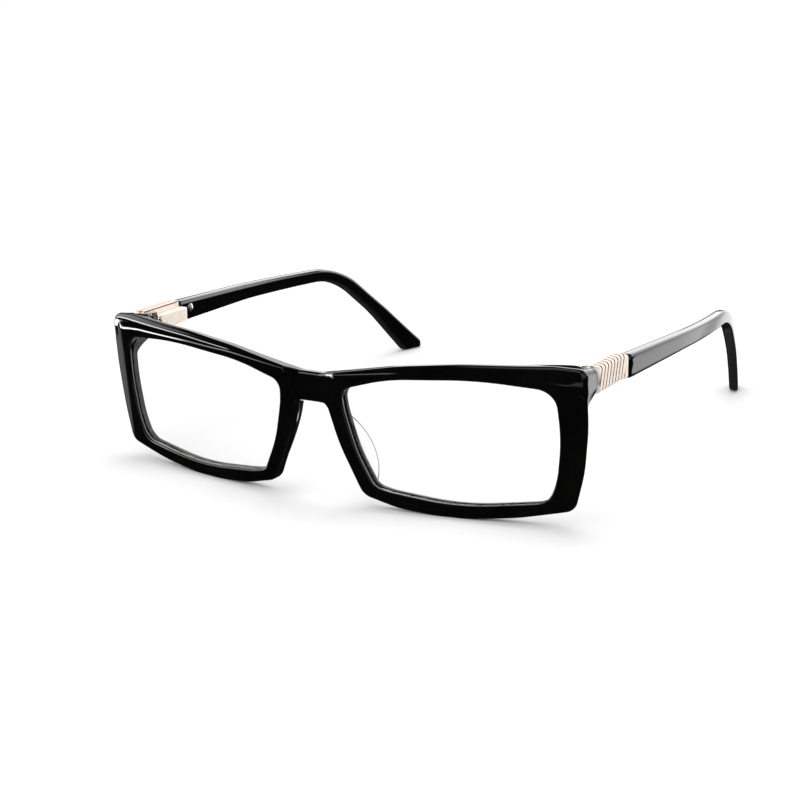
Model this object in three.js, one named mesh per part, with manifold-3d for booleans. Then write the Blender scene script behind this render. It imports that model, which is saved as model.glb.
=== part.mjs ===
// A pair of full-rim acetate eyeglasses with spring hinges and rope-ribbed metal temple ends.
// The glasses stand open on the two rim bottoms and the two temple tips.
// X runs across the front with +X on the wearer's left, Y runs from the front to the temple
// tips and Z is up. All lengths are millimetres. Every side piece is drawn for the left side
// and mirrored for the right.
import * as THREE from 'three';
import { mergeVertices } from 'three/addons/utils/BufferGeometryUtils.js';
import Module from 'manifold-3d';

const wasm = await Module();
wasm.setup();

// ---- Driving dimensions ----

// The front is a sheet bent round an upright cylinder, with its top leaned forward. Sweep is
// the range of Y that holds all of it.
const FRONT = {
  radius: 212, thickness: 3.4, tilt: 0.115, zeroHeight: 17.8, reach: 72, sweep: [-10, 30],
};
// Depth below the face of the lens and of the groove that holds it, and how far each goes
// past the edge of the opening.
const LENS = { near: 1.0, far: 2.4, bite: 0.7 };
const GROOVE = { near: 0.7, far: 2.7, bite: 1.0 };
// The bevel along the outer front edge of the temporal rims, and the X of that edge.
const SIDE_BEVEL = { edge: 67.5, width: 3.6, depth: 1.0 };

// Outline of one half of the front, from the middle of the bridge underside round to the
// middle of the bridge top: [x, z, corner radius].
const OUTLINE = [
  [4.5, 25.5, 1.8], [7.1, 15.6, 40], [12.6, 3.1, 4], [22, 0.7, 30], [31, 0, 20], [39, 0, 30],
  [51, 1.4, 60], [64.2, 4.2, 3.2], [66.4, 13.5, 50], [67.5, 25, 60], [67.2, 39.0, 2.2],
  [60, 39.2, 30], [38, 38.4, 90], [24, 36.9, 60], [3, 33.0, 10],
];
const BRIDGE = { underside: 25.5, top: 33.0 };
// Edge of the lens opening, all the way round: [x, z, corner radius].
const OPENING = [
  [15.7, 5.5, 3.2], [19.5, 4.6, 20], [37, 2.9, 70], [58, 5.6, 4.6], [60.4, 11.5, 20],
  [61.6, 22, 60], [60.7, 33.6, 5], [43, 35.2, 90], [21, 33.5, 50], [8.6, 29.7, 4.6],
  [9.0, 24.5, 20], [11.4, 14.4, 40],
];

// The end block behind each outer corner of the front carries the hinge.
const END_BLOCK = {
  inner: 60.6, outer: 67.2, front: 11.0, rear: 18.0, bottom: 30.4, top: 38.7, bevel: 0.8,
};
// How much lower the top of the block is at its rear than at its front.
const END_BLOCK_FALL = 1.2;

// The hinge turns about an upright axis just behind the end block.
const AXIS = { x: 62.0, y: 20.3, z: 34.1 };
const KNUCKLE = {
  radius: 1.2, bore: 0.65, half: 2.6, middleHalf: 0.95, gap: 0.3, webHalf: 1.0, neckHalf: 0.6,
};
const LEAF = { inner: 60.8, outer: 63.4, thickness: 0.7, half: 2.6 };
const LEAF_GAP = 0.2;
const ANCHOR = { width: 2.0, height: 3.0, depth: 3.2, clearance: 0.2 };
const HINGE_SCREW = { shank: 0.5, head: 0.95, headGap: 0.1, headHeight: 0.4, proud: 0.2 };

// The spring slider: a rod with the middle knuckle in front and a nut behind, sliding in a
// box on the inner side of the metal temple end.
const HOUSING = {
  inner: 60.7, outer: 63.7, front: 22.0, rear: 34.0, half: 1.75, bore: 1.15, boreEnd: 33.2,
  frontRound: 0.5, rearRound: 1.4,
};
const ROD = { radius: 0.42, root: 0.3, rear: 31.6 };
const ROD_NUT = { radius: 0.95, front: 30.2, rear: 31.3, bore: 0.55 };
const RETAINER = { radius: 1.0, bore: 0.6, front: 22.3, rear: 23.2 };
const SPRING = {
  radius: 0.8, wire: 0.14, front: 23.6, rear: 29.8, turns: 7, sides: 5, stepsPerTurn: 10,
};

// The metal temple end: a smooth bar with oblique rope ribs on its outer side, a flange
// against the arm and a tang inside the arm.
const METAL = { front: 18.35, rear: 34.0, inner: 63.8, outer: 67.4, bottom: 31.2, top: 37.7 };
// The ribs' own length, and how far the bar behind them is set in at its ends.
const RIBS = {
  count: 8, radius: 1.12, lean: 0.3, centreX: 66.35, firstY: 19.6, pitch: 1.86, length: 12,
  sides: 12, inset: 0.2,
};
const FLANGE = { thickness: 0.9, inner: 64.0, outer: 67.6, bottom: 31.1, top: 37.2 };
const TANG = { rear: 43.2, thickness: 1.2, half: 1.5, clearance: 0.25 };

// The temple arm leaves the flange, bends in towards the head past inwardFrom, and turns down
// behind the ear.
const PLAN = {
  hingeX: 65.6, hingeY: 18, splay: 0.0283, inwardFrom: 62.8, inwardRadius: 262, step: 5,
};
const ARM = {
  front: 34.25, thickness: 3.4, tipThickness: 2.8, thinFrom: 100, tip: 150, sweep: [45, 75],
};
// Side outline of the arm: [y, z, corner radius], along the underside and back over the top.
const ARM_OUTLINE = [
  [34.25, 31.0, 0.4], [70, 30.75, 200], [113.1, 29.2, 30], [130, 15.3, 70], [144.4, 0, 2.6],
  [151.6, 0, 2.4], [151.3, 2.4, 2.4], [136.5, 15.5, 70], [115.2, 32.5, 35], [70, 35.2, 200],
  [34.25, 36.95, 0.4],
];
const ARM_SCREW = {
  y: 39.8, z: 34.3, head: 1.25, headDepth: 0.7, proud: 0.1, seat: 1.4, seatDepth: 0.8,
  shank: 0.5, hole: 0.7, reach: 0.6,
};
const SCREW_SLOT = { width: 0.35, depth: 0.25 };
// Side view of the core wire inside the arm, from its front end to its rear end: [y, z].
const CORE_PATH = [[46, 33.6], [75, 32.7], [97, 31.7], [108, 30.6], [118, 27.0], [130, 17.9]];
const CORE = { radius: 0.55, channel: 0.85, channelEnd: 1.2, sides: 8, steps: 26 };

// The clear nose pads behind the nasal rims.
const PAD = {
  bottom: 4.5, top: 24.5, depth: 4.8, thickness: 2.2, x: 9.4, lean: 0.45, splay: 0.35, gap: 0.2,
};

const ROUND_SEGMENTS = 16;
// The largest turn in one step round a rounded corner, in radians.
const ARC_STEP = 0.22;
const SHEET_STEPS = 28;
const PAD_STEPS = 14;
// How far a cutting tool runs past the faces it cuts.
const OVERSHOOT = 1;

// The middle of the standing object on the floor is the origin.
const ORIGIN_Y = 74.87;

// ---- Materials ----

function paint(colour, roughness, metalness, opacity = 1) {
  return new THREE.MeshStandardMaterial({
    color: colour, roughness, metalness, opacity, transparent: opacity < 1,
  });
}
const acetate = () => paint(0x08080a, 0.12, 0);
const roseGold = () => paint(0xe6c3ae, 0.18, 1);
const steel = () => paint(0xd9d5cf, 0.22, 1);
const clear = () => paint(0xf4f6f6, 0.05, 0, 0.25);

// ---- Solids ----

function toSolid(geometry) {
  const bare = geometry.clone();
  bare.deleteAttribute('normal');
  bare.deleteAttribute('uv');
  const merged = mergeVertices(bare, 1e-4);
  const vertProperties = new Float32Array(merged.attributes.position.array);
  const triVerts = new Uint32Array(merged.index.array);
  return new wasm.Manifold(new wasm.Mesh({ numProp: 3, vertProperties, triVerts }));
}

function toGeometry(solid) {
  const mesh = solid.getMesh();
  const geometry = new THREE.BufferGeometry();
  geometry.setAttribute('position', new THREE.BufferAttribute(mesh.vertProperties, 3));
  geometry.setIndex(new THREE.BufferAttribute(mesh.triVerts, 1));
  geometry.computeVertexNormals();
  return geometry;
}

function cut(body, ...tools) {
  return tools.reduce((solid, tool) => solid.subtract(tool), body);
}

function join(...bodies) {
  return bodies.reduce((solid, body) => solid.add(body));
}

// A box between two corners.
function box([x0, y0, z0], [x1, y1, z1]) {
  const geometry = new THREE.BoxGeometry(x1 - x0, y1 - y0, z1 - z0);
  geometry.translate((x0 + x1) / 2, (y0 + y1) / 2, (z0 + z1) / 2);
  return toSolid(geometry);
}

// A cylinder about a line through [x, y, z] along 'x', 'y' or 'z', from one end to the other.
function cylinder(axis, [x, y, z], radius, from, to) {
  const geometry = new THREE.CylinderGeometry(radius, radius, to - from, ROUND_SEGMENTS);
  const middle = (from + to) / 2;
  if (axis === 'x') {
    geometry.rotateZ(Math.PI / 2);
    geometry.translate(middle, y, z);
  } else if (axis === 'y') {
    geometry.translate(x, middle, z);
  } else {
    geometry.rotateX(Math.PI / 2);
    geometry.translate(x, y, middle);
  }
  return toSolid(geometry);
}

// ---- Outlines ----

// The points of a closed polygon whose corners are rounded: [u, v, radius] for each corner.
function roundedOutline(corners) {
  const points = [];
  corners.forEach(([u, v, radius], i) => {
    const corner = new THREE.Vector2(u, v);
    const before = new THREE.Vector2(...corners.at(i - 1)).sub(corner);
    const after = new THREE.Vector2(...corners[(i + 1) % corners.length]).sub(corner);
    const toBefore = before.clone().normalize();
    const toAfter = after.clone().normalize();
    const half = Math.acos(THREE.MathUtils.clamp(toBefore.dot(toAfter), -1, 1)) / 2;
    const room = 0.48 * Math.min(before.length(), after.length());
    const run = Math.min(radius / Math.tan(half), room);
    const turn = Math.PI - 2 * half;
    const steps = Math.max(1, Math.ceil(turn / ARC_STEP));
    const centre = toBefore.clone().add(toAfter).normalize().multiplyScalar(run / Math.cos(half));
    const start = toBefore.multiplyScalar(run).sub(centre);
    const side = Math.sign(start.cross(toAfter.multiplyScalar(run).sub(centre)));
    for (let k = 0; k <= steps; k += 1) {
      const spoke = start.clone().rotateAround(new THREE.Vector2(), (side * turn * k) / steps);
      points.push(corner.clone().add(centre).add(spoke));
    }
  });
  return points;
}

// The outline moved outward by a distance. The points run anticlockwise.
function grown(points, distance) {
  return points.map((point, i) => {
    const along = points[(i + 1) % points.length].clone().sub(points.at(i - 1)).normalize();
    return new THREE.Vector2(point.x + along.y * distance, point.y - along.x * distance);
  });
}

function extrude(points, depth, holes = []) {
  const shape = new THREE.Shape(points);
  shape.holes = holes.map((hole) => new THREE.Path(hole));
  return new THREE.ExtrudeGeometry(shape, { depth, bevelEnabled: false });
}

// An outline drawn in X and Z, swept along Y from one end to the other.
function sweptAlongY(points, from, to, holes = []) {
  const geometry = extrude(points, to - from, holes);
  geometry.rotateX(Math.PI / 2);
  geometry.translate(0, to, 0);
  return geometry;
}

// ---- The front ----

// How far forward the lean carries a point at this height.
const leanAt = (z) => -FRONT.tilt * (z - FRONT.zeroHeight);

// Y of the front's face at a place on it.
function faceY(x, z) {
  return FRONT.radius - Math.sqrt(FRONT.radius ** 2 - x ** 2) + leanAt(z);
}

function leaned(geometry) {
  const position = geometry.attributes.position;
  for (let i = 0; i < position.count; i += 1) {
    position.setY(i, position.getY(i) + leanAt(position.getZ(i)));
  }
  return geometry;
}

// The bent, leaning sheet between two depths behind the face.
function bentSheet(near, far) {
  const outer = FRONT.radius - near;
  const inner = FRONT.radius - far;
  const half = Math.asin(FRONT.reach / outer);
  const arc = (radius, start, end) => new THREE.EllipseCurve(
    0, FRONT.radius, radius, radius, start, end, start > end,
  ).getPoints(SHEET_STEPS);
  const forward = -Math.PI / 2;
  const points = [
    ...arc(outer, forward - half, forward + half),
    ...arc(inner, forward + half, forward - half),
  ];
  const height = END_BLOCK.top + 2 * OVERSHOOT;
  const geometry = extrude(points, height + OVERSHOOT);
  geometry.translate(0, 0, -OVERSHOOT);
  return toSolid(leaned(geometry));
}

const mirrorPoints = (points) => points.map((p) => new THREE.Vector2(-p.x, p.y)).reverse();

function frontOutline() {
  const half = [[0, BRIDGE.underside, 0], ...OUTLINE, [0, BRIDGE.top, 0]];
  const right = roundedOutline(half).filter((point) => point.x > 0.01);
  const underside = new THREE.Vector2(0, BRIDGE.underside);
  const top = new THREE.Vector2(0, BRIDGE.top);
  return [underside, ...right, top, ...mirrorPoints(right)];
}

// The block behind the outer corner, with bevelled rear edges and a top that falls to the rear.
function endBlock() {
  const b = END_BLOCK;
  const plan = [
    [b.inner, b.front, 0], [b.outer, b.front, 0], [b.outer, b.rear, b.bevel],
    [b.inner, b.rear, b.bevel],
  ];
  const geometry = extrude(roundedOutline(plan), b.top - b.bottom);
  geometry.translate(0, 0, b.bottom);
  const position = geometry.attributes.position;
  for (let i = 0; i < position.count; i += 1) {
    if (position.getZ(i) > (b.bottom + b.top) / 2) {
      const back = (position.getY(i) - b.front) / (b.rear - b.front);
      position.setZ(i, b.top - END_BLOCK_FALL * back);
    }
  }
  return toSolid(geometry);
}

// The wedge taken off the outer front edge of a temporal rim.
function sideBevel() {
  const outer = SIDE_BEVEL.edge + OVERSHOOT;
  const inner = SIDE_BEVEL.edge - SIDE_BEVEL.width;
  const front = faceY(inner, FRONT.zeroHeight);
  const wedge = [
    new THREE.Vector2(inner, front),
    new THREE.Vector2(inner, front - OVERSHOOT),
    new THREE.Vector2(outer, front - OVERSHOOT),
    new THREE.Vector2(outer, faceY(SIDE_BEVEL.edge, FRONT.zeroHeight) + SIDE_BEVEL.depth),
  ];
  const geometry = extrude(wedge, END_BLOCK.top + 3 * OVERSHOOT);
  geometry.translate(0, 0, -OVERSHOOT);
  return toSolid(leaned(geometry));
}

function anchorBox(clearance) {
  const half = { x: ANCHOR.width / 2 + clearance, z: ANCHOR.height / 2 + clearance };
  const front = END_BLOCK.rear - ANCHOR.depth - clearance;
  return box(
    [AXIS.x - half.x, front, AXIS.z - half.z],
    [AXIS.x + half.x, END_BLOCK.rear + LEAF_GAP, AXIS.z + half.z],
  );
}

function groove(opening) {
  const plate = sweptAlongY(grown(opening, GROOVE.bite), ...FRONT.sweep);
  return bentSheet(GROOVE.near, GROOVE.far).intersect(toSolid(plate));
}

function frontFrame() {
  const opening = roundedOutline(OPENING);
  const openings = [opening, mirrorPoints(opening)];
  const plate = toSolid(sweptAlongY(frontOutline(), ...FRONT.sweep, openings));
  const rims = plate.intersect(bentSheet(0, FRONT.thickness));
  const leftTools = [sideBevel(), anchorBox(ANCHOR.clearance), groove(opening)];
  const rightTools = leftTools.map(mirroredSolid);
  const body = join(rims, endBlock(), mirroredSolid(endBlock()));
  return toGeometry(cut(body, ...leftTools, ...rightTools));
}

function lens() {
  const plate = sweptAlongY(grown(roundedOutline(OPENING), LENS.bite), ...FRONT.sweep);
  return toGeometry(bentSheet(LENS.near, LENS.far).intersect(toSolid(plate)));
}

// A flat half-moon that leans with the side of the nose and stands off the back of the rim.
function nosePad() {
  const chord = PAD.top - PAD.bottom;
  const radius = (chord ** 2 / 4 + PAD.depth ** 2) / (2 * PAD.depth);
  const half = Math.asin(chord / 2 / radius);
  const bulge = new THREE.EllipseCurve(PAD.depth - radius, chord / 2, radius, radius, -half, half);
  const geometry = extrude(bulge.getPoints(PAD_STEPS), PAD.thickness);
  const position = geometry.attributes.position;
  for (let i = 0; i < position.count; i += 1) {
    const back = position.getX(i);
    const up = position.getY(i);
    const across = position.getZ(i) - PAD.thickness / 2;
    const z = PAD.bottom + up;
    const x = PAD.x + across - PAD.lean * (up - chord / 2) + PAD.splay * back;
    position.setXYZ(i, x, faceY(x, z) + FRONT.thickness + PAD.gap + back, z);
  }
  return outward(geometry);
}

// ---- The hinge ----

function hingeLeaf() {
  const front = END_BLOCK.rear + LEAF_GAP;
  const plate = box(
    [LEAF.inner, front, AXIS.z - LEAF.half],
    [LEAF.outer, front + LEAF.thickness, AXIS.z + LEAF.half],
  );
  const knuckleFrom = KNUCKLE.middleHalf + KNUCKLE.gap;
  const centre = [AXIS.x, AXIS.y, 0];
  const webs = [-1, 1].map((end) => {
    const low = AXIS.z + Math.min(end * knuckleFrom, end * KNUCKLE.half);
    const high = AXIS.z + Math.max(end * knuckleFrom, end * KNUCKLE.half);
    const web = box(
      [AXIS.x - KNUCKLE.webHalf, front, low], [AXIS.x + KNUCKLE.webHalf, AXIS.y, high],
    );
    return join(web, cylinder('z', centre, KNUCKLE.radius, low, high));
  });
  const reach = KNUCKLE.half + OVERSHOOT;
  const bore = cylinder('z', centre, KNUCKLE.bore, AXIS.z - reach, AXIS.z + reach);
  return toGeometry(cut(join(plate, anchorBox(0), ...webs), bore));
}

function hingeScrew() {
  const centre = [AXIS.x, AXIS.y, 0];
  const under = AXIS.z + KNUCKLE.half + HINGE_SCREW.headGap;
  const top = under + HINGE_SCREW.headHeight;
  const bottom = AXIS.z - KNUCKLE.half - HINGE_SCREW.proud;
  const shank = cylinder('z', centre, HINGE_SCREW.shank, bottom, (under + top) / 2);
  const head = cylinder('z', centre, HINGE_SCREW.head, under, top);
  const reach = HINGE_SCREW.head + OVERSHOOT;
  const slot = box(
    [AXIS.x - reach, AXIS.y - SCREW_SLOT.width / 2, top - SCREW_SLOT.depth],
    [AXIS.x + reach, AXIS.y + SCREW_SLOT.width / 2, top + OVERSHOOT],
  );
  return toGeometry(cut(join(shank, head), slot));
}

function springSlider() {
  const centre = [AXIS.x, AXIS.y, 0];
  const half = KNUCKLE.middleHalf;
  const knuckle = cylinder('z', centre, KNUCKLE.radius, AXIS.z - half, AXIS.z + half);
  const reach = half + OVERSHOOT;
  const bore = cylinder('z', centre, KNUCKLE.bore, AXIS.z - reach, AXIS.z + reach);
  const neckRear = AXIS.y + KNUCKLE.radius;
  const neck = box(
    [AXIS.x - KNUCKLE.neckHalf, AXIS.y, AXIS.z - KNUCKLE.neckHalf],
    [AXIS.x + KNUCKLE.neckHalf, neckRear, AXIS.z + KNUCKLE.neckHalf],
  );
  const rod = cylinder('y', [AXIS.x, 0, AXIS.z], ROD.radius, AXIS.y + KNUCKLE.bore + ROD.root, ROD.rear);
  return toGeometry(cut(join(knuckle, neck, rod), bore));
}

function ring(outer, bore, front, rear) {
  const centre = [AXIS.x, 0, AXIS.z];
  const body = cylinder('y', centre, outer, front, rear);
  return toGeometry(cut(body, cylinder('y', centre, bore, front - OVERSHOOT, rear + OVERSHOOT)));
}

class Helix extends THREE.Curve {
  getPoint(t, target = new THREE.Vector3()) {
    const angle = 2 * Math.PI * SPRING.turns * t;
    const y = THREE.MathUtils.lerp(SPRING.front + SPRING.wire, SPRING.rear - SPRING.wire, t);
    return target.set(
      AXIS.x + SPRING.radius * Math.cos(angle), y, AXIS.z + SPRING.radius * Math.sin(angle),
    );
  }
}

function circle(radius, sides) {
  const round = new THREE.EllipseCurve(0, 0, radius, radius);
  return new THREE.Shape(round.getPoints(sides).slice(0, sides));
}

function spring() {
  return new THREE.ExtrudeGeometry(circle(SPRING.wire, SPRING.sides), {
    extrudePath: new Helix(), steps: SPRING.turns * SPRING.stepsPerTurn, bevelEnabled: false,
  });
}

// The box on the inner side of the metal temple end, bored from the front, with a round rear.
function hingeHousing() {
  const plan = [
    [HOUSING.inner, HOUSING.front, HOUSING.frontRound], [HOUSING.outer, HOUSING.front, 0],
    [HOUSING.outer, HOUSING.rear, 0], [HOUSING.inner, HOUSING.rear, HOUSING.rearRound],
  ];
  const body = extrude(roundedOutline(plan), 2 * HOUSING.half);
  body.translate(0, 0, AXIS.z - HOUSING.half);
  const boreFront = HOUSING.front - OVERSHOOT;
  const bore = cylinder('y', [AXIS.x, 0, AXIS.z], HOUSING.bore, boreFront, HOUSING.boreEnd);
  return toGeometry(cut(toSolid(body), bore));
}

// ---- The temple ----

// X of the middle of the temple at a distance back.
function planX(y) {
  const inward = Math.max(y - PLAN.inwardFrom, 0);
  const straight = PLAN.hingeX + PLAN.splay * (y - PLAN.hingeY);
  return straight - inward ** 2 / (2 * PLAN.inwardRadius);
}

function ropeRibs() {
  const middle = (METAL.bottom + METAL.top) / 2;
  const bars = [];
  for (let i = 0; i < RIBS.count; i += 1) {
    const bar = new THREE.CylinderGeometry(RIBS.radius, RIBS.radius, RIBS.length, RIBS.sides);
    bar.rotateX(Math.PI / 2 - RIBS.lean);
    bar.translate(RIBS.centreX, RIBS.firstY + RIBS.pitch * i, middle);
    bars.push(toSolid(bar));
  }
  const rear = METAL.rear - FLANGE.thickness / 2;
  const bounds = box([METAL.inner, METAL.front, METAL.bottom], [METAL.outer, rear, METAL.top]);
  return join(...bars).intersect(bounds);
}

function tangBox(clearance) {
  const x = planX(ARM_SCREW.y);
  const across = TANG.thickness / 2 + clearance;
  const up = TANG.half + clearance;
  return box(
    [x - across, METAL.rear - FLANGE.thickness / 2, ARM_SCREW.z - up],
    [x + across, TANG.rear + clearance, ARM_SCREW.z + up],
  );
}

function metalTempleEnd() {
  const core = box(
    [METAL.inner, METAL.front, METAL.bottom + RIBS.inset],
    [RIBS.centreX, METAL.rear - RIBS.inset, METAL.top - RIBS.inset],
  );
  const flange = box(
    [FLANGE.inner, METAL.rear - FLANGE.thickness, FLANGE.bottom],
    [FLANGE.outer, METAL.rear, FLANGE.top],
  );
  const x = planX(ARM_SCREW.y);
  const centre = [0, ARM_SCREW.y, ARM_SCREW.z];
  const screwHole = cylinder('x', centre, ARM_SCREW.hole, x - TANG.thickness, x + TANG.thickness);
  return toGeometry(cut(join(core, ropeRibs(), flange, tangBox(0)), screwHole));
}

function armThickness(y) {
  const thin = THREE.MathUtils.smoothstep(y, ARM.thinFrom, ARM.tip);
  return THREE.MathUtils.lerp(ARM.thickness, ARM.tipThickness, thin);
}

const innerFace = (y) => planX(y) - armThickness(y) / 2;
const outerFace = (y) => planX(y) + armThickness(y) / 2;

// The arm is where its plan, a curved ribbon, and its side outline meet.
function armBlank() {
  const stations = [];
  for (let y = ARM.front; y < ARM.tip + 2 * PLAN.step; y += PLAN.step) {
    stations.push(y);
  }
  const outer = stations.map((y) => new THREE.Vector2(outerFace(y), y));
  const inner = stations.map((y) => new THREE.Vector2(innerFace(y), y)).reverse();
  const ribbon = extrude([...outer, ...inner], METAL.top + 2 * OVERSHOOT);
  ribbon.translate(0, 0, -OVERSHOOT);
  return toSolid(ribbon).intersect(toSolid(sweptAlongX(roundedOutline(ARM_OUTLINE), ARM.sweep)));
}

// An outline drawn in Y and Z, swept along X from one end to the other.
function sweptAlongX(points, [from, to]) {
  const geometry = extrude(points, to - from);
  const position = geometry.attributes.position;
  for (let i = 0; i < position.count; i += 1) {
    const [y, z, along] = [position.getX(i), position.getY(i), position.getZ(i)];
    position.setXYZ(i, from + along, y, z);
  }
  return geometry;
}

function corePath(from) {
  const points = CORE_PATH.map(([y, z]) => new THREE.Vector3(planX(y), y, z));
  points[0] = new THREE.Vector3(planX(from), from, CORE_PATH[0][1]);
  return new THREE.CatmullRomCurve3(points);
}

function coreTube(radius, from, to) {
  const path = corePath(from);
  const last = path.points.at(-1);
  const along = path.getTangent(1);
  path.points[path.points.length - 1] = last.clone().addScaledVector(along, to);
  return new THREE.ExtrudeGeometry(circle(radius, CORE.sides), {
    extrudePath: path, steps: CORE.steps, bevelEnabled: false,
  });
}

function templeArm() {
  const centre = [0, ARM_SCREW.y, ARM_SCREW.z];
  const face = innerFace(ARM_SCREW.y);
  const slot = tangBox(TANG.clearance);
  const channel = toSolid(coreTube(CORE.channel, TANG.rear - OVERSHOOT, CORE.channelEnd));
  const seat = cylinder('x', centre, ARM_SCREW.seat, face - OVERSHOOT, face + ARM_SCREW.seatDepth);
  const hole = cylinder('x', centre, ARM_SCREW.hole, face, planX(ARM_SCREW.y));
  return toGeometry(cut(armBlank(), slot, channel, seat, hole));
}

function armScrew() {
  const centre = [0, ARM_SCREW.y, ARM_SCREW.z];
  const face = innerFace(ARM_SCREW.y);
  const top = face - ARM_SCREW.proud;
  const head = cylinder('x', centre, ARM_SCREW.head, top, face + ARM_SCREW.headDepth);
  const tip = planX(ARM_SCREW.y) + ARM_SCREW.reach;
  const shank = cylinder('x', centre, ARM_SCREW.shank, face, tip);
  const reach = ARM_SCREW.head + OVERSHOOT;
  const slot = box(
    [top - OVERSHOOT, ARM_SCREW.y - SCREW_SLOT.width / 2, ARM_SCREW.z - reach],
    [top + SCREW_SLOT.depth, ARM_SCREW.y + SCREW_SLOT.width / 2, ARM_SCREW.z + reach],
  );
  return toGeometry(cut(join(head, shank), slot));
}

function coreWire() {
  return coreTube(CORE.radius, CORE_PATH[0][0], 0);
}

// ---- Mirroring and assembly ----

// The triangles turned over, so that they face outward after a mirror or a remapping.
function flipped(geometry) {
  const indexed = geometry.index ? geometry : mergeVertices(geometry);
  const index = indexed.index.array;
  for (let i = 0; i < index.length; i += 3) {
    [index[i], index[i + 1]] = [index[i + 1], index[i]];
  }
  indexed.computeVertexNormals();
  return indexed;
}

// The geometry with its faces pointing out, whichever way they pointed.
function outward(geometry) {
  const bare = geometry.clone();
  bare.deleteAttribute('normal');
  bare.deleteAttribute('uv');
  const merged = mergeVertices(bare, 1e-4);
  const p = merged.attributes.position;
  const [a, b, c] = [new THREE.Vector3(), new THREE.Vector3(), new THREE.Vector3()];
  let volume = 0;
  for (let i = 0; i < merged.index.count; i += 3) {
    a.fromBufferAttribute(p, merged.index.getX(i));
    b.fromBufferAttribute(p, merged.index.getX(i + 1));
    c.fromBufferAttribute(p, merged.index.getX(i + 2));
    volume += a.dot(b.cross(c));
  }
  return volume < 0 ? flipped(merged) : merged;
}

function mirrored(geometry) {
  const copy = geometry.clone();
  copy.scale(-1, 1, 1);
  return outward(copy);
}

function mirroredSolid(solid) {
  return toSolid(mirrored(toGeometry(solid)));
}

const glasses = new THREE.Group();
glasses.position.y = -ORIGIN_Y;

function place(name, geometry, material) {
  const mesh = new THREE.Mesh(geometry, material);
  mesh.name = name;
  glasses.add(mesh);
}

const SIDE_PIECES = {
  lens: [lens, clear],
  nose_pad: [nosePad, clear],
  hinge_leaf: [hingeLeaf, steel],
  hinge_screw: [hingeScrew, steel],
  spring_slider: [springSlider, steel],
  slider_nut: [() => ring(ROD_NUT.radius, ROD_NUT.bore, ROD_NUT.front, ROD_NUT.rear), steel],
  spring_retainer: [
    () => ring(RETAINER.radius, RETAINER.bore, RETAINER.front, RETAINER.rear), steel,
  ],
  hinge_spring: [spring, steel],
  hinge_housing: [hingeHousing, roseGold],
  metal_temple_end: [metalTempleEnd, roseGold],
  temple_arm: [templeArm, acetate],
  arm_screw: [armScrew, steel],
  core_wire: [coreWire, steel],
};

place('front_frame', frontFrame(), acetate());
for (const [name, [build, material]] of Object.entries(SIDE_PIECES)) {
  const left = outward(build());
  place(`${name}_left`, left, material());
  place(`${name}_right`, mirrored(left), material());
}

export default glasses;
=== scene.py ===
"""Looks of a pair of acetate eyeglasses with spring hinges and rope-ribbed metal temple ends.

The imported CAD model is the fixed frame. This script builds the shown surfaces around it, gives
every piece a procedural material, and adds the camera, the floor and the studio light.
Shapes are drawn in millimetres: X across the front, Y from the front to the temple tips, Z up,
with Y counted from the middle of the bridge's face. place() turns them into the frame's metres.
Every side piece is drawn for the left side and mirrored for the right.
"""
import math

import bmesh
import bpy
import numpy as np
from mathutils import Matrix, Vector
from mathutils.geometry import delaunay_2d_cdt
from mathutils.kdtree import KDTree


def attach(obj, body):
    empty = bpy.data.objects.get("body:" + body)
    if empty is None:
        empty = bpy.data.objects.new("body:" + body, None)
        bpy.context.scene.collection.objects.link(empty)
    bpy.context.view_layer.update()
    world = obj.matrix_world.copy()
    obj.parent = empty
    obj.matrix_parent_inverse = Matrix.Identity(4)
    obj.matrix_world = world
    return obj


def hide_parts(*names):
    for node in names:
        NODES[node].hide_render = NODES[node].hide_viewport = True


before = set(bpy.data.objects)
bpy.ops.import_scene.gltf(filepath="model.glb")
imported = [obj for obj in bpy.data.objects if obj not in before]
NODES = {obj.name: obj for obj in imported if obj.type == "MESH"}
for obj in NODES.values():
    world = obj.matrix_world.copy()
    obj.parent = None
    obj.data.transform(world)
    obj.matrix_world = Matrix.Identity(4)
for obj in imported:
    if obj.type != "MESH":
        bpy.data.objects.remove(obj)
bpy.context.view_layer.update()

MM = 0.001
# How far the middle of the standing object lies behind the bridge's face, in mm.
ORIGIN_Y = 74.87
SIDES = {"left": 1, "right": -1}

# ---- Driving dimensions, in mm ----

# The front is a sheet bent round an upright cylinder, with its top leaned forward.
SHEET_RADIUS = 212.0
SHEET_TILT = 0.115
SHEET_ZERO_HEIGHT = 17.8
THICKNESS = 3.4

# One half of the front, from the bridge underside round to the bridge top: x, z, corner radius.
OUTLINE = [
    (4.5, 25.5, 1.8), (7.1, 15.6, 40), (12.6, 3.1, 4), (22, 0.7, 30), (31, 0, 20), (39, 0, 30),
    (51, 1.4, 60), (64.2, 4.2, 3.2), (66.4, 13.5, 50), (67.5, 25, 60), (67.2, 39.0, 2.2),
    (60, 39.2, 30), (38, 38.4, 90), (24, 36.9, 60), (3, 33.0, 10),
]
BRIDGE_UNDERSIDE = 25.5
BRIDGE_TOP = 33.0
# The radius of a corner on the middle line, and the least x of the points beside that line.
SHARP = 0.01
MIDDLE_GAP = 0.05
# Edge of a lens opening: x, z, corner radius.
OPENING = [
    (15.7, 5.5, 3.2), (19.5, 4.6, 20), (37, 2.9, 70), (58, 5.6, 4.6), (60.4, 11.5, 20),
    (61.6, 22, 60), (60.7, 33.6, 5), (43, 35.2, 90), (21, 33.5, 50), (8.6, 29.7, 4.6),
    (9.0, 24.5, 20), (11.4, 14.4, 40),
]

# The temporal bevel starts at this x, with this slope, and turns over this width.
SIDE_BEVEL_X = 63.6
SIDE_BEVEL_SLOPE = 0.24
SIDE_BEVEL_TURN = 0.6
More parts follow.
